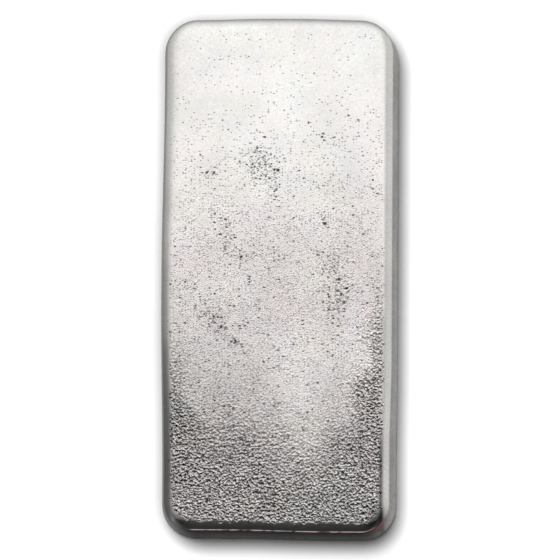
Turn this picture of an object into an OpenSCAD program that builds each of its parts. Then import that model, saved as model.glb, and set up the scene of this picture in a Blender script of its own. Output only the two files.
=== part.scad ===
// A one-kilogram ingot of cast silver, lying flat as it came out of an open mould and was turned over.
// The mould's floor shaped the flat face on top, the mould's leaning walls shaped the sides,
// and the metal's own skin rounded the rim that now lies on the floor.
// Frame: millimetres, +Z up, +Y along the length, origin on the floor under the middle.

/* [Casting] */
// Length along Y, across the widest outline
ingot_l = 117.8; // [90:0.5:140]
// Width along X, across the widest outline
ingot_w = 53.2; // [40:0.5:70]
// Height from the floor to the flat face
ingot_h = 15.8; // [12:0.1:20]

/* [Mould] */
// Draft: how far each wall leans in from upright, in degrees
draft = 5; // [2:0.5:8]
// Radius of the upright corners, at the widest outline
corner_r = 7.8; // [7:0.1:15]

/* [Edges] */
// Radius of the rolled edge round the flat face
face_edge_r = 1.5; // [0.5:0.1:2]
// Radius of the rim that the metal's skin left, at the floor
rim_r = 2; // [1:0.1:3]

/* [Hidden] */
$fn = 96;

// Straight stretches of the outline, between the upright corners' axes
straight_l = ingot_l - 2 * corner_r;
straight_w = ingot_w - 2 * corner_r;
// Centre of the rim's arc in the wall's section, measured out from a corner's axis
rim_x = corner_r - rim_r;
rim_z = rim_r;
// Centre of the face edge's arc: it touches both the flat face and the leaning wall
edge_z = ingot_h - face_edge_r;
edge_x = rim_x + (rim_r - face_edge_r - (edge_z - rim_z) * sin(draft)) / cos(draft);
// The straight wall sits this much inside the arcs' common tangent, so that line and arc cross cleanly
lap = 0.004;

// Section of a wall, from a corner's axis at x = 0 out to the leaning wall
module wall_section() {
    polygon([
        [0, 0],
        [rim_x, 0],
        [rim_x + (rim_r - lap) * cos(draft), rim_z + (rim_r - lap) * sin(draft)],
        [edge_x + (face_edge_r - lap) * cos(draft), edge_z + (face_edge_r - lap) * sin(draft)],
        [edge_x, ingot_h],
        [0, ingot_h]
    ]);
    translate([rim_x, rim_z]) circle(r = rim_r);
    translate([edge_x, edge_z]) circle(r = face_edge_r);
}

// A straight wall that faces +X, centred on the origin
module wall(length) {
    rotate([90, 0, 0]) linear_extrude(height = length, center = true) wall_section();
}

// A quarter turn of the same section, from +X round to +Y
module corner() {
    rotate_extrude(angle = 90) wall_section();
}

// One quarter turn of the outline: the wall that faces +X at a given distance, and the corner after it
module side(distance, length) {
    translate([distance / 2, 0, 0]) wall(length);
    translate([distance / 2, length / 2, 0]) corner();
}

// The middle of the casting, inside the four corners' axes
module middle() {
    translate([-straight_w / 2, -straight_l / 2, 0]) cube([straight_w, straight_l, ingot_h]);
}

// The whole casting is one piece of metal
module ingot() {
    color("#d9d7d2") union() {
        middle();
        for (turn = [0, 180]) {
            rotate(turn) side(straight_w, straight_l);
            rotate(turn + 90) side(straight_l, straight_w);
        }
    }
}

ingot();
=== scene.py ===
# %% [markdown]
# # A cast silver ingot
#
# The object is one kilogram of silver, poured into an open iron mould and turned out. The mould's floor
# shaped the broad face that now looks up, and its leaning walls shaped the four sides. Where the mould
# was hot the face came out smooth and bright, and where it was cold the skin froze in wrinkles. Gas that
# could not escape left small blowholes.
#
# This lesson builds it in the order a foundry would: first a smooth pattern, then the metal's skin laid
# over it, then the marks that the pour left, then the finish, and last the table and the lights.
#
# The bar lies along y. Its near end, at the lower y, is the cold one, and its far end is the hot one.
# Lengths are handed to Blender in metres. Places on the face are easier to read in millimetres, so the
# functions that choose and paint parts of the skin work in those.

# %% Load the measured frame
import math
import random

import bmesh
import bpy
import numpy as np
from mathutils import Matrix, Vector, noise


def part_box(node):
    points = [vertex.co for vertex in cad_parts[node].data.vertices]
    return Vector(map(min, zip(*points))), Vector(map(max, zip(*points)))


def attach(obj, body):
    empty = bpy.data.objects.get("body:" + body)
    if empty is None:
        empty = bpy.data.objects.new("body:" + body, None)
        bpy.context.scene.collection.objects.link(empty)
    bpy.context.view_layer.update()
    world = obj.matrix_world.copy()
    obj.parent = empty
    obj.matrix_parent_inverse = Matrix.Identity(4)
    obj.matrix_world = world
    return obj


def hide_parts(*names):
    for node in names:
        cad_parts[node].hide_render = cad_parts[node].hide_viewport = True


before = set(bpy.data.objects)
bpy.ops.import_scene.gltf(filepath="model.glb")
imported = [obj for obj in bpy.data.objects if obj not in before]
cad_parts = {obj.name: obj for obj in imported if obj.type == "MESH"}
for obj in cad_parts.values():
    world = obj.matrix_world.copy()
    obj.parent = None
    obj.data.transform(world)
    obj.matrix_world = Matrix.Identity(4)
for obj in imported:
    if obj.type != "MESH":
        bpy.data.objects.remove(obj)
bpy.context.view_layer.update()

low, high = (Vector(corner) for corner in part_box("ingot"))
WIDTH, LENGTH, HEIGHT = high - low
print(f"ingot: {WIDTH * 1000:.1f} x {LENGTH * 1000:.1f} x {HEIGHT * 1000:.1f} mm")

# %% [markdown]
# ## Helpers for working by hand
#
# Blender's operators act on whatever is selected, so every step starts from a clean selection. `alone`
# selects one piece, `shape` opens it in edit mode with nothing selected, `pick` selects faces, edges or
# vertices by a test on their place, and `settle` applies a modifier as the Apply button does. All of this
# could be written out at each step, but a step reads better when it says only what is particular to it.

# %% Select, open, pick and apply
MM = 0.001
SELECT_MODES = {"faces": "FACE", "edges": "EDGE", "verts": "VERT"}


def in_mm(lengths):
    """Lengths in millimetres, rounded for printing."""
    return [round(length / MM, 2) for length in lengths]


def alone(piece):
    """Make one piece the active one and the only one selected."""
    bpy.ops.object.select_all(action="DESELECT")
    bpy.context.view_layer.objects.active = piece
    piece.select_set(True)


def shape(piece):
    """Open one piece in edit mode, with nothing in it selected."""
    alone(piece)
    bpy.ops.object.mode_set(mode="EDIT")
    bpy.ops.mesh.select_all(action="DESELECT")


def pick(piece, kind, test):
    """Select the faces, edges or vertices that pass the test, and say how many there are."""
    bpy.ops.mesh.select_all(action="DESELECT")
    bpy.ops.mesh.select_mode(type=SELECT_MODES[kind])
    mesh = bmesh.from_edit_mesh(piece.data)
    found = 0
    for part in getattr(mesh, kind):
        if test(part):
            part.select_set(True)
            found += 1
    bmesh.update_edit_mesh(piece.data)
    return found


def settle(piece, modifier):
    """Apply a modifier."""
    alone(piece)
    bpy.ops.object.modifier_apply(modifier=modifier.name)


print("the frame's box is", in_mm(low), "to", in_mm(high), "mm")

# %% [markdown]
# ## The pattern: the smooth form of the mould
#
# A foundry first makes a pattern, the plain form that the mould is shaped from. Its walls lean in by the
# draft, so that the casting slides out. It could be a cube that is tapered and bevelled, but then each
# corner has one radius all the way up. Here the foot is rounder than the face, and roundest at one far
# corner, so two flat outlines are drawn, rounded one corner at a time, and bridged. Two sizes follow from
# the draft: how far out the walls would reach at the floor if the lower rim were sharp, and how far they
# have come in at the top.

# %% Foot and face outlines
DRAFT = math.radians(5)
RIM = 2 * MM
ROLL = 1.5 * MM
FACE_CORNER = 6.9 * MM
FOOT_CORNER = 7.7 * MM
ROUNDEST_CORNER = 10 * MM
CORNER_STEPS = 24

flare = RIM / math.cos(DRAFT) - RIM + RIM * math.tan(DRAFT)
lean = HEIGHT * math.tan(DRAFT)


def round_corners(piece, radius, test):
    """Round the corners of a flat outline that pass the test."""
    pick(piece, "verts", test)
    bpy.ops.mesh.bevel(
        affect="VERTICES", offset_type="OFFSET", offset=radius, segments=CORNER_STEPS, profile=0.5
    )


def outline(name, grow, z):
    """A flat rectangle at height z that is larger than the box's plan by grow on every side."""
    bpy.ops.object.select_all(action="DESELECT")
    bpy.ops.mesh.primitive_plane_add(size=1, location=(0, 0, z))
    piece = bpy.context.active_object
    piece.name = name
    piece.scale = (WIDTH + 2 * grow, LENGTH + 2 * grow, 1)
    bpy.ops.object.transform_apply(location=True, rotation=True, scale=True)
    shape(piece)
    return piece


foot = outline("foot", flare, 0)
round_corners(foot, ROUNDEST_CORNER, lambda v: v.co.x > 0 and v.co.y > 0)
round_corners(foot, FOOT_CORNER, lambda v: abs(v.co.x) > WIDTH / 2 and abs(v.co.y) > LENGTH / 2)
bpy.ops.object.mode_set(mode="OBJECT")

pattern = outline("pattern", flare - lean, HEIGHT)
round_corners(pattern, FACE_CORNER, lambda v: True)
bpy.ops.object.mode_set(mode="OBJECT")
print(f"the walls lean in by {lean / MM:.2f} mm")
print(f"outlines of {len(foot.data.vertices)} and {len(pattern.data.vertices)} points")

# %% [markdown]
# Joined into one object, the two outlines are bridged, and the bridge is the leaning walls. Two bevels
# follow: one rolls the edge of the face, as the fillet in the mould did, and the other rounds the rim on
# the floor. The pattern could be left sharp and the edges worn later, but a bevel gives each its true
# radius. Its width is measured along the faces, so it is the radius times the tangent of half the turn
# from one face to the next.

# %% Bridge them, roll the top edge and round the rim
BEVEL_STEPS = 16

foot.select_set(True)
pattern.select_set(True)
bpy.context.view_layer.objects.active = pattern
bpy.ops.object.join()


def level(edge, z):
    """True for an edge that lies flat at height z."""
    return all(abs(v.co.z - z) < 0.01 * MM for v in edge.verts)


def bevel(width):
    """Round the selected edges."""
    bpy.ops.mesh.bevel(
        offset_type="OFFSET", offset=width, segments=BEVEL_STEPS, profile=0.5, clamp_overlap=False
    )


shape(pattern)
pick(pattern, "edges", lambda e: e.is_boundary)
bpy.ops.mesh.bridge_edge_loops()
bpy.ops.mesh.select_all(action="SELECT")
bpy.ops.mesh.normals_make_consistent(inside=False)
pick(pattern, "edges", lambda e: level(e, HEIGHT))
bevel(ROLL * math.tan((math.pi / 2 - DRAFT) / 2))
pick(pattern, "edges", lambda e: level(e, 0))
bevel(RIM * math.tan((math.pi / 2 + DRAFT) / 2))
bpy.ops.object.mode_set(mode="OBJECT")
print(f"pattern: {len(pattern.data.polygons)} faces, {in_mm(pattern.dimensions)} mm")

# %% [markdown]
# ## The skin: an even mesh laid over the pattern
#
# The bevelled block has a few huge faces and many thin ones, and relief needs small even ones. A voxel
# remesh would make them, but all of one size. So the skin starts as a flat grid on the floor, is drawn up
# layer by layer by extruding, and is later pressed onto the pattern by Shrinkwrap, as sand is pressed
# round a pattern. The layers are close together at the rim, and closest at the seam, the fine raised line
# round the top of the walls where the mould's floor met its sides.

# %% Grid, drawn up in layers
CELL = 1.2 * MM
SEAM = 14.1 * MM
WALL_LAYERS = 12
RIM_LEVELS = (0.4, 1.0, 1.8)
ABOUT_SEAM = (-0.45, -0.2, -0.1, 0, 0.1, 0.25, 0.6, 1.1)

columns = round(WIDTH / CELL)
rows = round(LENGTH / CELL)
heights = [above_floor * MM for above_floor in RIM_LEVELS]
heights += [SEAM * layer / WALL_LAYERS for layer in range(2, WALL_LAYERS)]
heights += [SEAM + offset * MM for offset in ABOUT_SEAM]
heights += [HEIGHT]

bpy.ops.object.select_all(action="DESELECT")
bpy.ops.mesh.primitive_grid_add(x_subdivisions=columns, y_subdivisions=rows, size=1, location=(0, 0, 0))
bar = bpy.context.active_object
bar.name = "cast_bar"
bar.scale = (WIDTH, LENGTH, 1)
bpy.ops.object.transform_apply(location=True, rotation=True, scale=True)

shape(bar)
bpy.ops.mesh.select_all(action="SELECT")
for below, above in zip([0] + heights, heights):
    bpy.ops.mesh.extrude_region_move(TRANSFORM_OT_translate={"value": (0, 0, above - below)})
bpy.ops.mesh.select_all(action="SELECT")
bpy.ops.mesh.normals_make_consistent(inside=False)
print(f"block of {columns} x {rows} x {len(heights)} cells")

# %% [markdown]
# Where the mould was cold is a matter of place: the near end, and a strip up each long side that thins
# out towards the hot end. It could be painted by hand in weight paint mode, but a short recipe of soft
# steps gives the same map on any mesh. It serves twice: here to choose which cells to divide, and later
# to say how deep the wrinkles are. FRONT is the line that the cold reached, and a few sine waves keep it
# from looking ruled.

# %% Where the skin froze in wrinkles
FRONT = [
    (-26, -17),
    (-23, -22),
    (-19, -29),
    (-14, -34),
    (0, -36),
    (7, -41),
    (13, -37),
    (17, -31),
    (19, -22),
    (21, -13),
    (25, -6),
]
FRONT_X = [spot[0] for spot in FRONT]
FRONT_Y = [spot[1] for spot in FRONT]


def step(start, end, value):
    """0 before start, 1 past end, and a smooth slope between; start may be the larger."""
    t = np.clip((value - start) / (end - start), 0, 1)
    return t * t * (3 - 2 * t)


def coldness(x, y):
    """How deep the skin froze in wrinkles, 0 to 1, at a place on the face in millimetres."""
    y = y + 1.2 * np.sin(x / 3.1 + 1) + 0.9 * np.sin(x / 1.7 + y / 4)
    x = x + 1.2 * np.sin(y / 2.3)
    past_front = y - np.interp(x, FRONT_X, FRONT_Y)
    return 0.35 * step(24, -2, past_front) + 0.65 * step(6, -13, past_front)


for where, along in (("near end", -55), ("middle", 0), ("far end", 55)):
    print(f"coldness on the centre line, {where}: {coldness(0, along):.2f}")

# %% [markdown]
# Gas is a matter of place too. It gathered in a few swarms, one large near the hot end and one down the
# right side. Each swarm is a centre, a spread and a strength. A swarm makes the skin porous, which the
# finish shows as pinholes, and blowholes large enough to model fall at random within it. Only the largest of
# these are listed one by one, each by its place and its radius. The random numbers start from a fixed seed,
# so the ingot is the same each time.

# %% Where the gas came out
HOLES_PER_SWARM = 9
LARGEST_RANDOM_HOLE = 0.28

SWARMS = [
    ((-4.2, 25.1), (3.4, 3.6), 1.0),
    ((-0.8, 20.1), (1.0, 3.0), 0.7),
    ((-15.2, 23.1), (2.4, 0.8), 0.6),
    ((11.3, 31.1), (3.0, 2.0), 0.15),
    ((10.3, 12.7), (1.2, 1.8), 0.6),
    ((12.3, 2.1), (1.6, 4.0), 0.8),
    ((13.8, -4.8), (2.0, 4.5), 1.0),
    ((-8.2, 4.2), (3.0, 1.4), 0.7),
    ((-11.7, 9.2), (1.5, 4.0), 0.4),
    ((-14.6, -9.2), (1.9, 2.0), 1.0),
    ((-12.2, -11.9), (1.5, 1.9), 1.0),
    ((-9.0, -15.1), (1.9, 1.0), 0.9),
    ((-8.0, -10.6), (1.2, 0.9), 0.5),
]
LARGEST = [
    (-0.2, 23.8, 0.40),
    (-1, 23.9, 0.30),
    (-4.9, 28.8, 0.26),
    (13.7, -0.8, 0.36),
    (15.4, -2.8, 0.34),
    (14.2, -4.1, 0.3),
    (11.5, -7.6, 0.3),
    (10.5, 11.8, 0.34),
    (-8.1, 4.2, 0.34),
    (9.9, 32.1, 0.24),
    (-14.1, -9.3, 0.3),
    (-12.5, -11.7, 0.3),
    (-9.4, -15.2, 0.28),
    (-16.1, 23.2, 0.3),
    (-14.6, 23.0, 0.26),
]


def hump(x, y, centre, spread):
    """1 at the centre, and fading to nothing past about twice the spread."""
    return np.exp(-(((x - centre[0]) / spread[0]) ** 2) - ((y - centre[1]) / spread[1]) ** 2)


def porous(x, y):
    """How full of gas the skin is, 0 to 1, at a place on the face in millimetres."""
    full = 0
    for centre, spread, strength in SWARMS:
        full = np.maximum(full, strength * hump(x, y, centre, spread))
    return full


dice = random.Random(11)
holes = [(hx, hy, radius, dice.uniform(-0.6, 0.6), 0.75) for hx, hy, radius in LARGEST]
for (cx, cy), (spread_x, spread_y), strength in SWARMS:
    for count in range(round(HOLES_PER_SWARM * strength)):
        radius = min(LARGEST_RANDOM_HOLE, 0.16 + dice.expovariate(25))
        turn = dice.gauss(-0.2, 0.5)
        squash = dice.uniform(0.5, 0.9)
        hx = dice.gauss(cx, 0.6 * spread_x)
        hy = dice.gauss(cy, 0.6 * spread_y)
        holes.append((hx, hy, radius, turn, squash))
print(f"{len(holes)} blowholes, {len(LARGEST)} of them set by hand")

# %% [markdown]
# ## Finer cells where there is something to show
#
# One size of cell would be either too coarse for a wrinkle or far too many for a plain wall. So the face
# and the top of the walls are divided once, and the cold skin twice more. The warm skin is smooth, so it
# is divided again only at each blowhole and along the near end, where a fine lip will stand.

# %% Divide the face, and its cold skin again
NEAR_TOP = SEAM - 0.7 * MM


def middle(face):
    """The middle of a cell, in millimetres."""
    return face.calc_center_median() / MM


def on_face(face):
    """True for a cell of the broad face on top."""
    return face.normal.z > 0.9 and face.calc_center_median().z > HEIGHT / 2


def near_top(face):
    """True for a cell of the broad face or of the top of a wall."""
    return on_face(face) or (abs(face.normal.z) < 0.5 and face.calc_center_median().z > NEAR_TOP)


def cold(face):
    """True for a cell that froze in wrinkles."""
    place = middle(face)
    return on_face(face) and coldness(place.x, place.y) > 0.3


pick(bar, "faces", near_top)
bpy.ops.mesh.subdivide(number_cuts=1)
print(f"{pick(bar, 'faces', cold)} cold cells divided")
bpy.ops.mesh.subdivide(number_cuts=2)

# %% [markdown]
# A blowhole is about half a millimetre across, much less than a cell of the warm skin, so the few cells
# at each are divided four times more. `subdivide` cuts only what is selected and joins the new points to
# the neighbours, so the fine cells do not spread. The cold skin is fine enough and is passed over, by the
# area of its cells.

# %% Divide the cells at each blowhole
COLD_CELL = 0.1 * MM * MM
HOLE_MARGIN = 0.35


def holed(face):
    """True for a cell of the warm skin that lies at a blowhole."""
    if not on_face(face) or face.calc_area() < COLD_CELL:
        return False
    place = middle(face)
    for hx, hy, radius, turn, squash in holes:
        if max(abs(place.x - hx), abs(place.y - hy)) < radius + HOLE_MARGIN:
            return True
    return False


print(f"{pick(bar, 'faces', holed)} holed cells divided")
bpy.ops.mesh.subdivide(number_cuts=4)

# %% [markdown]
# The lip follows the rounded outline of the foot, a little way in from it. The cells along it are found
# by their distance from that outline. In a rounded rectangle this is short to write: far from a corner it
# is the distance from a side, and near one it is measured from the centre of the corner's arc.

# %% Divide the cells along the near end's lip
LIP_IN = 1.62


def from_foot(x, y):
    """How far in from the rounded outline of the foot a place is, in millimetres."""
    across = np.abs(x) - (WIDTH / 2 - FOOT_CORNER) / MM
    along = np.abs(y) - (LENGTH / 2 - FOOT_CORNER) / MM
    out = np.hypot(np.maximum(across, 0), np.maximum(along, 0)) + np.minimum(np.maximum(across, along), 0)
    return FOOT_CORNER / MM - out


def lipped(face):
    """True for a cell that lies where the near end's fine lip will be."""
    place = middle(face)
    at_near_end = place.y < -LENGTH / 2 / MM + 6
    return on_face(face) and at_near_end and abs(from_foot(place.x, place.y) - LIP_IN) < 0.5


print(f"{pick(bar, 'faces', lipped)} cells of the near roll divided")
bpy.ops.mesh.subdivide(number_cuts=1)
bpy.ops.object.mode_set(mode="OBJECT")
print(f"the skin now has {len(bar.data.polygons)} faces")

# %% [markdown]
# Shrinkwrap moves each vertex of the skin to the nearest point of the pattern, so the grid takes the
# draft, the rolled edge and the round corners, and keeps its even cells. The pattern has then done its
# work and is removed.

# %% Press the skin onto the pattern
press = bar.modifiers.new("press", "SHRINKWRAP")
press.target = pattern
press.wrap_method = "NEAREST_SURFACEPOINT"
settle(bar, press)
bpy.data.objects.remove(pattern)
bpy.ops.object.shade_smooth()
triangles = sum(len(p.vertices) - 2 for p in bar.data.polygons)
print(f"skin: {triangles} triangles, {in_mm(bar.dimensions)} mm")

# %% [markdown]
# ## What happened where, painted on the skin
#
# Relief and finish both need to know where the skin is wrinkled, holed or dull. That knowledge is stored
# on the mesh as attributes, one number for each vertex, as weight painting would. It could be worked out
# again by nodes in each of the two, but then they might disagree.

# %% Measure every vertex
points = np.empty(len(bar.data.vertices) * 3, np.float32)
bar.data.vertices.foreach_get("co", points)
x, y, z = points.reshape(-1, 3).T / MM
half_x = WIDTH / 2 / MM
half_y = LENGTH / 2 / MM
top = HEIGHT / MM
seam_z = SEAM / MM
print(f"{len(x)} vertices, from {z.min():.2f} to {z.max():.2f} mm above the floor")


def paint(name, values):
    """Store one number per vertex under a name that modifiers and materials can read."""
    layer = bar.data.attributes.new(name, "FLOAT", "POINT")
    layer.data.foreach_set("value", np.asarray(values, np.float32))
    print(f"{name}: mean {np.mean(values):.3f}, largest {np.max(values):.3f}")


# %% [markdown]
# The marks of the pour fade to nothing on the rolled edges, which the mould's polished fillet kept
# smooth. `on_flat` is that fade: it is 1 on the flat of the face, its border wanders a little with
# `grain`, a soft noise, and it stays further in at the corners. `carved` says where the wrinkles are
# deep enough to be geometry; where they are not, the finish draws them. `peppered` is how thickly the
# pinholes lie: few at the hot end and many at the cold one.

# %% Paint the cold and the gas
inward = from_foot(x, y)
in_corner = np.minimum(np.abs(x) - half_x, np.abs(y) - half_y) + FOOT_CORNER / MM
turned = np.clip(in_corner / 3, 0, 1)
grain = np.array([noise.noise((a * 0.9, b * 0.9, 3.0)) for a, b in zip(x, y)])
to_side = np.where(x < 0, half_x - 2.4 + x, half_x - 2.8 - x)
edge = np.minimum(to_side, half_y - 3.4 - np.abs(y))
edge = np.minimum(edge, inward - 2.4 - 1.4 * turned) + 0.9 * grain
flat = step(-0.1, 0.6, edge)
on_flat = flat * step(top - 0.6, top - 0.15, z)
cold_skin = coldness(x, y)
paint("cold", cold_skin * on_flat)
paint("carved", step(0.28, 0.36, cold_skin) * on_flat)
paint("porous", porous(x, y) * on_flat)
paint("peppered", (0.12 + 0.88 * step(44, -4, y)) * on_flat)

# %% [markdown]
# Each blowhole is a small bowl, a little longer one way than the other and turned by a random angle. It
# could be cut with a boolean, but a hundred of those leave a mesh that is hard to shade. Painted as a
# depth, it is pushed in together with the rest of the relief.

# %% Paint the blowholes
hole = np.zeros(len(x))
for hx, hy, radius, turn, squash in holes:
    by_hole = (np.abs(x - hx) < 1) & (np.abs(y - hy) < 1) & (z > top / 2)
    across = (x[by_hole] - hx) * math.cos(turn) + (y[by_hole] - hy) * math.sin(turn)
    along = (y[by_hole] - hy) * math.cos(turn) - (x[by_hole] - hx) * math.sin(turn)
    away = np.sqrt(across ** 2 + (along / squash) ** 2) / radius
    hole[by_hole] = np.maximum(hole[by_hole], radius * step(1.15, 0.35, away))
paint("hole", hole)

# %% [markdown]
# Silver shrinks as it freezes, so the skin sank away from the mould's fillet, most at the near end. This
# is the shoulder, a slope a few millimetres wide inside the rolled edge. A wider bevel would give it too,
# but the same all round. Each row below is the distance from one side, where the slope starts and how far
# it drops, in millimetres. It fades out between the face and the seam.

# %% Paint the shoulder
ABOVE_SEAM = 0.15

SHOULDERS = [
    (half_y + y, 4.4, 1.0),
    (half_y - y, 3.6, 0.2),
    (half_x + x, 4.4, 0.4),
    (half_x - x, 3.6, 0.2),
]
wall_top = lean / MM
shoulder = np.zeros(len(x))
for from_side, start, drop in SHOULDERS:
    shoulder = np.maximum(shoulder, drop * np.clip((start - from_side) / (start - wall_top), 0, 1) ** 2)
fade = np.clip((z - seam_z - ABOVE_SEAM) / (top - seam_z - ABOVE_SEAM), 0, 1)
paint("shoulder", shoulder * fade)

# %% [markdown]
# Two fine raised lines were left by the mould. The seam runs all the way round the walls, and the lip
# runs along the near end, inside its roll, and fades out towards the left corner. Both are painted into
# one attribute, `seam`, as their height from 0 to 1.

# %% Paint the seam and the near end's lip
LIP_WIDTH = 0.14
SEAM_WIDTH = 0.1

seam = 0.2 * np.exp(-((z - seam_z) / SEAM_WIDTH) ** 2)
lip = np.exp(-(((inward - LIP_IN) / LIP_WIDTH) ** 2)) * step(-half_y + 6, -half_y + 3, y)
lip = lip * step(top - 1.6, top - 1.2, z)
lip = lip * step(-half_x + 3.5, -half_x + 9, x) * (0.85 + 0.5 * grain)
paint("seam", np.maximum(seam, lip))

# %% [markdown]
# ## How white the silver is
#
# Clean silver reflects nearly all the light, and where a dull film lies on it, it reflects less. `white` is
# that share, and it also carries painted shade. The hot end looks the whitest, but only because it is smooth
# and mirrors the bright top of the tent; its metal is much like the middle's. The cold skin is painted
# darker, in patches: this is painted shade for the light that its folds block, with a dull film.

# %% Whiteness of the face, with painted shade in the cold skin
PATCHES = [
    ((8, -23), (7, 12), 0.06),
    ((-16, -24), (12, 14), -0.1),
    ((20, -20), (5, 13), 0.11),
]
# The cold skin is painted darker here: painted shade for the light that its folds block, with a dull film.
white = 0.875 + 0.045 * step(45, 5, y) - 0.39 * np.minimum(1, 1.4 * cold_skin) * step(5, 13, z)
for centre, spread, lift in PATCHES:
    white = white + lift * hump(x, y, centre, spread)
print(f"whiteness of the face: {white[z > top - 0.1].min():.2f} to {white[z > top - 0.1].max():.2f}")

# %% [markdown]
# The rolled edges are not alike. The right one is painted fully white, as a painted highlight. The left one
# is painted darker the nearer it comes to the cold end, as painted shade, and so are the bends at the
# corners. The near right corner gets the most painted shade, and a narrow trough of painted shade runs along
# the inside of the right roll there.

# %% Whiteness of the rolls and corners, with painted highlight and shade
# Painted highlight: the right roll is lifted to full white.
right_roll_highlight = step(half_x - 2.7, half_x - 2.2, x)
white = 1 - (1 - white) * (1 - right_roll_highlight)

inset = 0.35 * step(-36, -22, y)
left_roll = step(half_x - 3.4 + inset, half_x - 2 + inset, -x)
# Painted shade on the left roll, growing towards the cold end.
left_roll_shade = np.interp(y, [-40, -19, -1, 17, 38], [0.66, 0.47, 0.4, 0.22, 0])
white = white * (1 - left_roll_shade * left_roll * step(10, 14, z))

# Painted shade at the near right corner and at the bends of the near corners.
near_corner_shade = np.exp(-((x - half_x + 3.2) ** 2 + (y + half_y - 4.4) ** 2) / 6) * step(top - 3, top - 1.5, z)
bend_shade = turned * step(1.7, 2.4, inward) * (1 - flat) * step(0, -20, y)
white = white * (1 - 0.68 * near_corner_shade) * (1 - 0.65 * bend_shade)

# Painted shade along a narrow trough inside the right roll, near the cold end.
trough_shade = np.exp(-(((x - half_x + 2.95) / 0.45) ** 2)) * step(-32, -40, y)
paint("white", white * (1 - 0.72 * trough_shade) * (1 - 0.68 * lip))

# %% [markdown]
# Two masks are left. `wall` tells the finish where the metal slid along the mould. `blush` is a
# copper-coloured tarnish that crept in at the near right corner and, more thinly, along the lip.

# %% Paint the walls and the tarnish
corner = np.exp(-((x - half_x + 3.6) ** 2 + (y + half_y - 2.4) ** 2) / 7) * step(top - 0.3, top - 0.9, z)
corner = corner * step(top - 9, top - 3, z)
paint("wall", step(seam_z + 0.6, seam_z - 0.6, z))
paint("blush", np.clip(1.5 * corner + 0.7 * lip, 0, 1))

# %% [markdown]
# ## Out of true
#
# No worn mould is true. The left wall bulges by half a millimetre, the far end is a little crowned, and
# the near end runs out towards its right corner. A lattice could bend the whole bar, but four small pulls
# are easier to judge. Proportional editing does them as a hand would: a few vertices are pulled, and
# their neighbours follow less and less.

# %% Pull the outline out of true


def pull(piece, test, way, reach):
    """Move the vertices that pass the test, and let those within reach follow."""
    shape(piece)
    count = pick(piece, "verts", test)
    bpy.ops.transform.translate(
        value=way,
        use_proportional_edit=True,
        proportional_edit_falloff="SMOOTH",
        proportional_size=reach,
    )
    bpy.ops.object.mode_set(mode="OBJECT")
    print(f"pulled {count} vertices by {in_mm(way)} mm")


def left_middle(v):
    """The middle of the left wall, which bulges."""
    return v.co.x < -0.46 * WIDTH and abs(v.co.y + 2 * MM) < 1 * MM


def near_right(v):
    """The right roll near the cold end, which pinches in."""
    return v.co.x > 0.46 * WIDTH and abs(v.co.y + 44 * MM) < 5 * MM and v.co.z > SEAM


def far_middle(v):
    """The middle of the far end, which is crowned."""
    return v.co.y > 0.48 * LENGTH and abs(v.co.x - 1 * MM) < 3 * MM


def near_corner_wall(v):
    """The near end beside its right corner, which runs out."""
    return v.co.y < -0.48 * LENGTH and abs(v.co.x - 14 * MM) < 3 * MM


pull(bar, left_middle, (-0.55 * MM, 0, 0), 45 * MM)
pull(bar, near_right, (-0.4 * MM, 0, 0), 20 * MM)
pull(bar, far_middle, (0, 0.35 * MM, 0), 18 * MM)
pull(bar, near_corner_wall, (0, -0.35 * MM, 0), 22 * MM)

# %% [markdown]
# ## Relief
#
# The wrinkles are real geometry, because from the side they break up the light. They could be sculpted,
# but there are thousands. A geometry nodes modifier pushes each vertex along its normal instead, by a
# crumpled noise times the painted depth. The finish uses the same noise again for its finest grain, so
# the two line up. Both trees are made of nodes, so the lesson first makes itself a short way to add them.

# %% A short way to add nodes


def put(tree, kind, inputs=None, **settings):
    """Add a node, set its settings, and set or link its inputs."""
    node = tree.nodes.new(kind)
    for name, value in settings.items():
        setattr(node, name, value)
    for key, value in (inputs or {}).items():
        if isinstance(value, bpy.types.NodeSocket):
            tree.links.new(value, node.inputs[key])
        else:
            node.inputs[key].default_value = value
    return node


def calc(tree, operation, first, second=0.0, third=0.0):
    """One step of arithmetic between numbers or sockets."""
    return put(tree, "ShaderNodeMath", {0: first, 1: second, 2: third}, operation=operation).outputs[0]


def calc_xyz(tree, operation, first, second):
    """One step of arithmetic between places or directions."""
    return put(tree, "ShaderNodeVectorMath", {0: first, 1: second}, operation=operation).outputs[0]


def wrinkles(tree, place, cells, detail):
    """Height of a crumpled skin, about -0.3 to 0.3, with so many lumps to the millimetre."""
    lumps_per_metre = [0.95 * cells / MM, cells / MM, 0.2 * cells / MM]
    scaled = calc_xyz(tree, "MULTIPLY", place, lumps_per_metre)
    inputs = {"Vector": scaled, "Scale": 1.0, "Detail": detail, "Roughness": 0.5, "Distortion": 0.4}
    return calc(tree, "SUBTRACT", put(tree, "ShaderNodeTexNoise", inputs).outputs[0], 0.5)


# %% [markdown]
# The push has three parts, which add up. The folds go in and out and are as deep as the skin was cold.
# The blowholes go in only. The seam and the lip stand out.

# %% Push the skin in and out
FOLD_CELLS = 1.95
FOLD_DEPTH = 0.72 * MM
FOLD_POWER = 1.7
HOLE_DEPTH = 0.9 * MM
SEAM_HEIGHT = 0.26 * MM

relief = bpy.data.node_groups.new("relief", "GeometryNodeTree")
relief.interface.new_socket("Geometry", in_out="INPUT", socket_type="NodeSocketGeometry")
relief.interface.new_socket("Geometry", in_out="OUTPUT", socket_type="NodeSocketGeometry")
coming = put(relief, "NodeGroupInput")
going = put(relief, "NodeGroupOutput")
place = put(relief, "GeometryNodeInputPosition").outputs[0]
normal = put(relief, "GeometryNodeInputNormal").outputs[0]


def stored(name):
    """The number painted on the skin under this name."""
    attribute = put(relief, "GeometryNodeInputNamedAttribute", {"Name": name}, data_type="FLOAT")
    return attribute.outputs["Attribute"]


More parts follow.
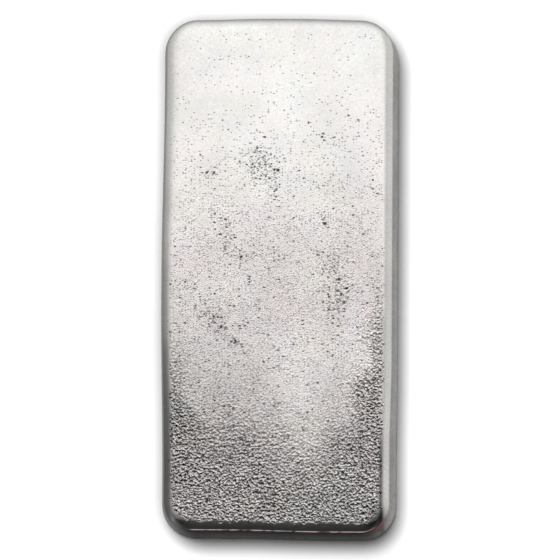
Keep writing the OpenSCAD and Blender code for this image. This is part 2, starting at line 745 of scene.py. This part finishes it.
folds = wrinkles(relief, place, FOLD_CELLS, 1.0)
froze = calc(relief, "MULTIPLY", calc(relief, "POWER", stored("cold"), FOLD_POWER), stored("carved"))
push = calc(relief, "MULTIPLY", calc(relief, "MULTIPLY", folds, FOLD_DEPTH), froze)
push = calc(relief, "SUBTRACT", push, calc(relief, "MULTIPLY", stored("hole"), HOLE_DEPTH))
push = calc(relief, "ADD", push, calc(relief, "MULTIPLY", stored("seam"), SEAM_HEIGHT))
pushed = put(relief, "ShaderNodeVectorMath", {0: normal, "Scale": push}, operation="SCALE").outputs[0]
print(f"folds {FOLD_DEPTH / MM:.2f} mm deep, {FOLD_CELLS} to the millimetre")

# %% [markdown]
# The sinking is straight down, not along the normal, because that is the way the metal shrank. The face
# drops a little towards both ends, by the square of the distance from the middle, and the shoulder drops
# as it was painted. The floor's side stays where it is.

# %% Sink the ends and the shoulder
END_DROP = -0.3 * MM

place_x, place_y, place_z = put(relief, "ShaderNodeSeparateXYZ", {0: place}).outputs
to_end = calc(relief, "POWER", calc(relief, "DIVIDE", place_y, LENGTH / 2), 2)
droop = calc(relief, "MULTIPLY", to_end, calc(relief, "DIVIDE", place_z, HEIGHT))
droop = calc(relief, "MULTIPLY", droop, END_DROP)
droop = calc(relief, "SUBTRACT", droop, calc(relief, "MULTIPLY", stored("shoulder"), MM))
droop = put(relief, "ShaderNodeCombineXYZ", {2: droop}).outputs[0]
offset = calc_xyz(relief, "ADD", pushed, droop)
moved = put(relief, "GeometryNodeSetPosition", {"Geometry": coming.outputs[0], "Offset": offset})
relief.links.new(moved.outputs[0], going.inputs[0])

frozen = bar.modifiers.new("relief", "NODES")
frozen.node_group = relief
settle(bar, frozen)
print(f"after relief: {in_mm(bar.dimensions)} mm")

# %% [markdown]
# ## The finish
#
# Cast silver is white with the faintest tints, and satin rather than mirror bright. One Principled shader
# with Metallic at 1 is enough for it, because all the differences are in what lies on the metal and in the
# light and shade painted into its colour. They could be painted as an image, but nodes keep their sharpness
# at any distance. Every pattern reads Object coordinates or a painted attribute, so it stays put on the bar.
# Five small helpers come first.

# %% Helpers for the finish
silver = bpy.data.materials.new("cast silver")
silver.use_nodes = True
tree = silver.node_tree
skin = tree.nodes["Principled BSDF"]
skin.inputs["Metallic"].default_value = 1.0
own = put(tree, "ShaderNodeTexCoord").outputs["Object"]


def painted(name):
    """The number painted on the skin under this name."""
    return put(tree, "ShaderNodeAttribute", attribute_name=name).outputs["Fac"]


def span(value, least, most, start, end):
    """Carry least..most over to start..end, and stop at both ends."""
    inputs = {"Value": value, "From Min": least, "From Max": most, "To Min": start, "To Max": end}
    return put(tree, "ShaderNodeMapRange", inputs).outputs[0]


def cloud(scale, detail=1.0):
    """Soft noise, about 0.3 to 0.7, with so many lumps to the metre."""
    return put(tree, "ShaderNodeTexNoise", {"Vector": own, "Scale": scale, "Detail": detail}).outputs[0]


def blend(how, amount, under, over):
    """Mix two colours."""
    inputs = {0: amount, 6: under, 7: over}
    return put(tree, "ShaderNodeMix", inputs, data_type="RGBA", blend_type=how).outputs[2]


def grey(value):
    """A colour with the same value in red, green and blue."""
    return put(tree, "ShaderNodeCombineColor", {0: value, 1: value, 2: value}).outputs[0]


print(f"material: {silver.name}")

# %% [markdown]
# The tint is barely there: rose and straw blotches a centimetre or so wide, with cooler ones between,
# and a touch of lilac that grows towards the cold end. Without it, the metal would look like plastic.

# %% Cast silver: tint
ROSE = (0.965, 0.935, 0.912, 1)
STRAW = (0.953, 0.947, 0.902, 1)
ICE = (0.93, 0.94, 0.94, 1)
LILAC = (1.0, 0.957, 0.967, 1)

tint = blend("MIX", span(cloud(70), 0.42, 0.58, 0, 1), ROSE, STRAW)
tint = blend("MIX", span(cloud(110), 0.48, 0.64, 0, 0.6), tint, ICE)
tint = blend("MULTIPLY", painted("peppered"), tint, LILAC)
print(f"tint: {len(tree.nodes)} nodes")

# %% [markdown]
# In the cold skin, light and shade are painted onto the folds: the crests and the sides that look to the far
# end are painted bright, as a painted highlight, and the hollows and the sides that look to the near end are
# painted dark, as painted shade, as the bright far side of the tent lights them. The slope of a fold is
# found by taking the same noise at two places, one a little to each side, and subtracting. Geometry alone
# would show the folds too, but folds this small need this painted light and shade to stand out as much as
# real ones do.

# %% Cast silver: painted light and shade in the folds
FINE_FOLD_CELLS = 4.4
TOWARDS_NEAR = [-0.03 * MM, -0.115 * MM, 0]
TOWARDS_FAR = [0.03 * MM, 0.115 * MM, 0]

cold_here = painted("cold")
folds_here = wrinkles(tree, own, FOLD_CELLS, 1.0)
fine_folds = wrinkles(tree, own, FINE_FOLD_CELLS, 1.5)
folds_nearer = wrinkles(tree, calc_xyz(tree, "ADD", own, TOWARDS_NEAR), FOLD_CELLS, 1.0)
folds_farther = wrinkles(tree, calc_xyz(tree, "ADD", own, TOWARDS_FAR), FOLD_CELLS, 1.0)
slope = calc(tree, "SUBTRACT", folds_nearer, folds_farther)
crest = calc(tree, "ADD", folds_here, calc(tree, "MULTIPLY", fine_folds, 0.6))
# Painted highlight on the far-facing slopes and crests, painted shade on the near-facing slopes and hollows.
fold_light_and_shade = span(calc(tree, "ADD", slope, calc(tree, "MULTIPLY", crest, 0.5)), -0.2, 0.2, -0.1, 2.3)
fold_light_weight = calc(tree, "POWER", cold_here, 1.6)
fold_light_and_shade = calc(tree, "ADD", 1.0, calc(tree, "MULTIPLY", calc(tree, "SUBTRACT", fold_light_and_shade, 1.0), fold_light_weight))
tone = calc(tree, "MULTIPLY", painted("white"), fold_light_and_shade)
# Painted shade: the blowholes are painted darker in their hollows.
tone = calc(tree, "MULTIPLY", tone, span(painted("hole"), 0.02, 0.2, 1.0, 0.25))
print(f"film: {len(tree.nodes)} nodes")

# %% [markdown]
# The walls slid out of the mould and show it: upright drag marks, a little grit, and a patchy dull film.
# The drag marks are noise that is squeezed ten times more across the wall than up it. A wave texture
# would make stripes too, but evenly spaced ones.

# %% Cast silver: the walls
DRAG_MARKS = [760, 760, 70]

slid = calc_xyz(tree, "MULTIPLY", own, DRAG_MARKS)
drag = put(tree, "ShaderNodeTexNoise", {"Vector": slid, "Scale": 1.0, "Detail": 3.0}).outputs[0]
grit = span(cloud(1500, 2.0), 0.56, 0.7, 0, 1)
dull = calc(tree, "ADD", span(drag, 0.3, 0.7, 0.8, 0.96), span(cloud(95, 4.0), 0.35, 0.65, -0.1, 0.1))
dull = calc(tree, "SUBTRACT", dull, calc(tree, "MULTIPLY", grit, 0.3))
dull = calc(tree, "MULTIPLY", calc(tree, "SUBTRACT", dull, 1.0), painted("wall"))
tone = calc(tree, "MULTIPLY", tone, calc(tree, "ADD", dull, 1.0))
print(f"walls: {len(tree.nodes)} nodes")

# %% [markdown]
# Besides the blowholes, the whole face is peppered with pinholes, too small and too many to model one by
# one. Voronoi cells place them: each cell may hold one pit, its own random number decides whether it
# does, and the pattern is pushed about by noise so that the pits come out ragged. Noise alone would give
# soft blots, not pits.

# %% Cast silver: pinholes
gassy = span(cloud(330, 1.0), 0.38, 0.62, 0.5, 1.5)


def ragged(cells):
    """The bar's own coordinates, scaled to so many cells to the millimetre and pushed about."""
    wavy = put(tree, "ShaderNodeTexNoise", {"Vector": own, "Scale": 2.2 * cells / MM, "Detail": 1.0})
    away = calc_xyz(tree, "SUBTRACT", wavy.outputs["Color"], [0.5, 0.5, 0.5])
    away = calc_xyz(tree, "MULTIPLY", away, [1.0, 0.7, 0])
    inputs = {0: own, 1: [0.6 * cells / MM, cells / MM, 0], 2: away}
    return put(tree, "ShaderNodeVectorMath", inputs, operation="MULTIPLY_ADD").outputs[0]


def pinholes(cells, share, radius):
    """Ragged pits, 0 to 1 deep: so many cells to the millimetre, a share of them pitted, radius in cells."""
    inputs = {"Vector": ragged(cells), "Scale": 1.0}
    spots = put(tree, "ShaderNodeTexVoronoi", inputs, voronoi_dimensions="2D")
    chance, size, other = put(tree, "ShaderNodeSeparateColor", {0: spots.outputs["Color"]}).outputs
    inputs = {
        "Value": spots.outputs["Distance"],
        "From Min": 0.0,
        "From Max": span(size, 0, 1, 0.4 * radius, radius),
        "To Min": 1.0,
        "To Max": 0.0,
    }
    bowl = put(tree, "ShaderNodeMapRange", inputs, interpolation_type="SMOOTHSTEP").outputs[0]
    limit = calc(tree, "MULTIPLY", calc(tree, "MULTIPLY", share, gassy), painted("peppered"))
    swarm = calc(tree, "MAXIMUM", painted("porous"), calc(tree, "MULTIPLY", cold_here, 0.45))
    limit = calc(tree, "ADD", limit, swarm)
    return calc(tree, "MULTIPLY", bowl, calc(tree, "LESS_THAN", chance, limit))


coarse_pits = pinholes(1.5, calc(tree, "MULTIPLY", painted("peppered"), 0.13), 0.4)
fine_pits = pinholes(2.6, 0.55, 0.46)
# Painted shade: the pits are painted darker in their hollows.
tone = calc(tree, "MULTIPLY", tone, span(coarse_pits, 0.2, 0.7, 1.0, 0.15))
tone = calc(tree, "MULTIPLY", tone, span(fine_pits, 0.2, 0.9, 1.0, 0.5))
print(f"pinholes: {len(tree.nodes)} nodes")

# %% [markdown]
# A mottle, one fine noise and one broad, keeps every part of the metal from being one flat tone. The tone
# then darkens the tint, and the copper tarnish is mixed over it, broken up by noise as real tarnish is.

# %% Cast silver: mottle, tarnish and base colour
COPPER = (0.5, 0.17, 0.21, 1)

fine_mottle = span(cloud(2100, 2.0), 0.3, 0.7, 0.915, 1.065)
broad_mottle = span(cloud(85, 3.0), 0.35, 0.65, -0.06, 0.05)
tone = calc(tree, "MULTIPLY", tone, calc(tree, "ADD", fine_mottle, broad_mottle))
silver_colour = blend("MULTIPLY", 1.0, tint, grey(tone))
stain = calc(tree, "MULTIPLY", painted("blush"), span(cloud(420, 3.0), 0.36, 0.6, 0.35, 1.0))
tree.links.new(blend("MIX", stain, silver_colour, COPPER), skin.inputs["Base Color"])
print(f"colour: {len(tree.nodes)} nodes")

# %% [markdown]
# The sheen is satin, with a roughness of about 0.2. The folds of the cold skin froze against nothing but
# air and gas, so they are glossier, and the walls are rougher from the slide. Roughness is where metal
# shows its making, so it varies everywhere, if only by a little.

# %% Cast silver: sheen
sheen = span(cloud(900, 2.0), 0.3, 0.7, 0.18, 0.23)
sheen = calc(tree, "SUBTRACT", sheen, calc(tree, "MULTIPLY", cold_here, 0.1))
sheen = calc(tree, "ADD", sheen, calc(tree, "MULTIPLY", painted("wall"), 0.1))
tree.links.new(sheen, skin.inputs["Roughness"])
print(f"sheen: {len(tree.nodes)} nodes")

# %% [markdown]
# What is too fine for the mesh is bump. All heights are in metres and Bump's Distance is 1, so each depth
# below is a true one. Where the folds are already carved in the mesh, the bump adds only half of them,
# which sharpens what the cells rounded off. Then come the pits, the fine orange-peel of the face, and the
# scores on the walls.

# %% Cast silver: finest relief
FINE_FOLD_DEPTH = 0.04 * MM
COARSE_PIT_DEPTH = 0.12 * MM
FINE_PIT_DEPTH = 0.05 * MM
PEEL_CELLS = 3.4
PEEL_DEPTH = 0.085 * MM
DRAG_DEPTH = 0.05 * MM
GRIT_DEPTH = 0.04 * MM

left_out = calc(tree, "SUBTRACT", 1.0, calc(tree, "MULTIPLY", painted("carved"), 0.5))
height = calc(tree, "MULTIPLY", folds_here, calc(tree, "MULTIPLY", left_out, FOLD_DEPTH))
height = calc(tree, "ADD", height, calc(tree, "MULTIPLY", fine_folds, FINE_FOLD_DEPTH))
height = calc(tree, "MULTIPLY", height, calc(tree, "POWER", cold_here, FOLD_POWER))
height = calc(tree, "SUBTRACT", height, calc(tree, "MULTIPLY", coarse_pits, COARSE_PIT_DEPTH))
height = calc(tree, "SUBTRACT", height, calc(tree, "MULTIPLY", fine_pits, FINE_PIT_DEPTH))
peel = calc(tree, "MULTIPLY", painted("peppered"), PEEL_DEPTH)
peel = calc(tree, "MULTIPLY", wrinkles(tree, own, PEEL_CELLS, 1.5), peel)
height = calc(tree, "ADD", height, peel)
scored = calc(tree, "MULTIPLY", drag, DRAG_DEPTH)
scored = calc(tree, "SUBTRACT", scored, calc(tree, "MULTIPLY", grit, GRIT_DEPTH))
height = calc(tree, "ADD", height, calc(tree, "MULTIPLY", scored, painted("wall")))
bump = put(tree, "ShaderNodeBump", {"Height": height, "Distance": 1.0, "Strength": 1.0})
tree.links.new(bump.outputs[0], skin.inputs["Normal"])
print(f"finest relief: {len(tree.nodes)} nodes")

# %% [markdown]
# The finished skin stands in for the measured solid. It never moves on its own, so it rides on the root,
# and its material goes by one plain name.

# %% Hand the bar over
bar.data.materials.clear()
bar.data.materials.append(silver)
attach(bar, "root")
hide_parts("ingot")
print(f"{bar.name}: {len(bar.data.polygons)} faces, material {bar.data.materials[0].name}")

# %% [markdown]
# ## Table, lights and camera
#
# The ingot lies on a sheet of matt white paper. A shadow catcher would do, but paper also shows the soft
# dark line where the bar touches it; ambient occlusion over 4 mm, fed into the paper's colour, paints that
# line as a painted shadow. The paper is hidden from reflections, so that the silver mirrors the tent alone.

# %% Pale table
CONTACT = 4 * MM

bpy.ops.object.select_all(action="DESELECT")
bpy.ops.mesh.primitive_plane_add(size=6, location=(0, 0, 0))
table = bpy.context.active_object
table.name = "table"
table.visible_glossy = False
paper = bpy.data.materials.new("white paper")
paper.use_nodes = True
matt = paper.node_tree.nodes["Principled BSDF"]
inputs = {"Color": (0.9, 0.9, 0.9, 1), "Distance": CONTACT}
shade = put(paper.node_tree, "ShaderNodeAmbientOcclusion", inputs, samples=8)
paper.node_tree.links.new(shade.outputs["Color"], matt.inputs["Base Color"])
matt.inputs["Roughness"].default_value = 1.0
matt.inputs["Specular IOR Level"].default_value = 0.0
table.data.materials.append(paper)
print(f"table: {table.dimensions.x:.0f} m of paper")

# %% [markdown]
# Two suns light the table and cast the bar's soft shadow. An area lamp would do the same near by, but a
# sun lights a large table evenly. The key comes from the far left, a little off straight up, and the fill
# from straight above. They are hidden from reflections, because the silver is lit by the tent.

# %% Lights for the table


def sun(name, toward, width, strength):
    """A soft sun that lights the table only; toward is the way to it, and width its angle in degrees."""
    lamp = bpy.data.lights.new(name, "SUN")
    lamp.energy = strength
    lamp.angle = math.radians(width)
    stand = bpy.data.objects.new(name, lamp)
    bpy.context.scene.collection.objects.link(stand)
    stand.rotation_euler = Vector(toward).to_track_quat("Z", "Y").to_euler()
    stand.visible_glossy = False
    print(f"{name}: strength {strength}, {width} degrees wide")


sun("key", (-math.tan(math.radians(8)), math.tan(math.radians(14.5)), 1), 26, 3.9)
sun("fill", (0, 0, 1), 60, 0.3)

# %% [markdown]
# Bright metal shows what stands round it, so its surroundings matter more than lamps. Silver is usually
# shown in a tent of white cloth, and here the world is that tent. It could be built from glowing planes,
# but one world shader has no gaps. The tent has four sides, and each is a list of its brightness at
# angles from straight up. A direction between two sides gets a share of both, by the squares of its east
# and north parts. The near side is dark from a few degrees off the top, as it is where something large
# stands in the tent's opening. The backdrop itself is plain white.

# %% A tent for the silver to mirror
world = bpy.data.worlds.new("studio")
bpy.context.scene.world = world
world.use_nodes = True
world.cycles_visibility.diffuse = False
tent = world.node_tree
sky = tent.nodes["Background"]
way = put(tent, "ShaderNodeTexCoord").outputs["Generated"]
east, north, up = put(tent, "ShaderNodeSeparateXYZ", {0: way}).outputs
fall = calc(tent, "DIVIDE", calc(tent, "ARCCOSINE", up), math.pi)
level_part = calc(tent, "ADD", calc(tent, "MULTIPLY", east, east), calc(tent, "MULTIPLY", north, north))
level_part = calc(tent, "MAXIMUM", level_part, 1e-6)


def panel(side, sign, brightness):
    """One side of the tent: its brightness at each angle from straight up, for directions on that side."""
    share = calc(tent, "MAXIMUM", calc(tent, "MULTIPLY", side, sign), 0.0)
    share = calc(tent, "DIVIDE", calc(tent, "MULTIPLY", share, share), level_part)
    ramp = put(tent, "ShaderNodeValToRGB", {"Fac": fall})
    stops = ramp.color_ramp.elements
    for index, (angle, value) in enumerate(brightness):
        stop = stops[index] if index < 2 else stops.new(1.0)
        stop.position = angle / 180
        stop.color = (value, value, value, 1)
    return calc(tent, "MULTIPLY", share, ramp.outputs[0])


LEFT = [(0, 1.2), (14, 0.98), (30, 0.76), (54, 0.64), (98, 0.52), (130, 0.4), (180, 0.22)]
RIGHT = [(0, 1.2), (10, 0.85), (20, 0.58), (35, 0.56), (50, 0.6), (130, 0.62), (155, 0.3), (180, 0.22)]
FAR = [(0, 1.2), (15, 1.2), (30, 1.05), (48, 0.95), (67, 0.8), (90, 0.6), (116, 0.4), (180, 0.3)]
NEAR = [(0, 1.2), (5, 0.8), (11, 0.13), (20, 0.045), (180, 0.045)]

left_and_right = calc(tent, "ADD", panel(east, -1, LEFT), panel(east, 1, RIGHT))
far_and_near = calc(tent, "ADD", panel(north, 1, FAR), panel(north, -1, NEAR))
light = calc(tent, "ADD", left_and_right, far_and_near)
backdrop = put(tent, "ShaderNodeLightPath").outputs["Is Camera Ray"]
tent.links.new(calc(tent, "MAXIMUM", light, backdrop), sky.inputs["Strength"])
sky.inputs["Color"].default_value = (1, 1, 1, 1)
bpy.context.scene.view_settings.view_transform = "Standard"
print(f"tent: {len(tent.nodes)} nodes")

# %% [markdown]
# The camera stands a metre and a half away and nearly straight above, leaning a few degrees towards the
# near right, so that a narrow strip of the near and right walls shows. That far off, the walls hardly
# converge. The focal length could be guessed and the camera moved until the bar fits; it is simpler to
# say how wide the field should be at the face and to work the focal length out from it.

# %% Camera
FIELD = 126.1 * MM
DISTANCE = 1.5
SENSOR = 36
LEAN_RIGHT = math.radians(2.0)
LEAN_NEAR = math.radians(3.2)
TWIST = math.radians(0.35)

lens = bpy.data.cameras.new("camera")
lens.sensor_width = SENSOR
lens.lens = SENSOR * DISTANCE / FIELD
lens.clip_end = 20
camera = bpy.data.objects.new("camera", lens)
bpy.context.scene.collection.objects.link(camera)
aim = Vector((0.35 * MM, -0.95 * MM, HEIGHT))
eye = Vector((math.tan(LEAN_RIGHT), -math.tan(LEAN_NEAR), 1)).normalized() * DISTANCE
camera.location = aim + eye
back = eye.normalized()
rightward = Vector((-math.sin(TWIST), math.cos(TWIST), 0)).cross(back).normalized()
camera.rotation_euler = Matrix((rightward, back.cross(rightward), back)).transposed().to_euler()
bpy.context.scene.camera = camera
print(f"camera: {lens.lens:.0f} mm lens, {DISTANCE} m away")
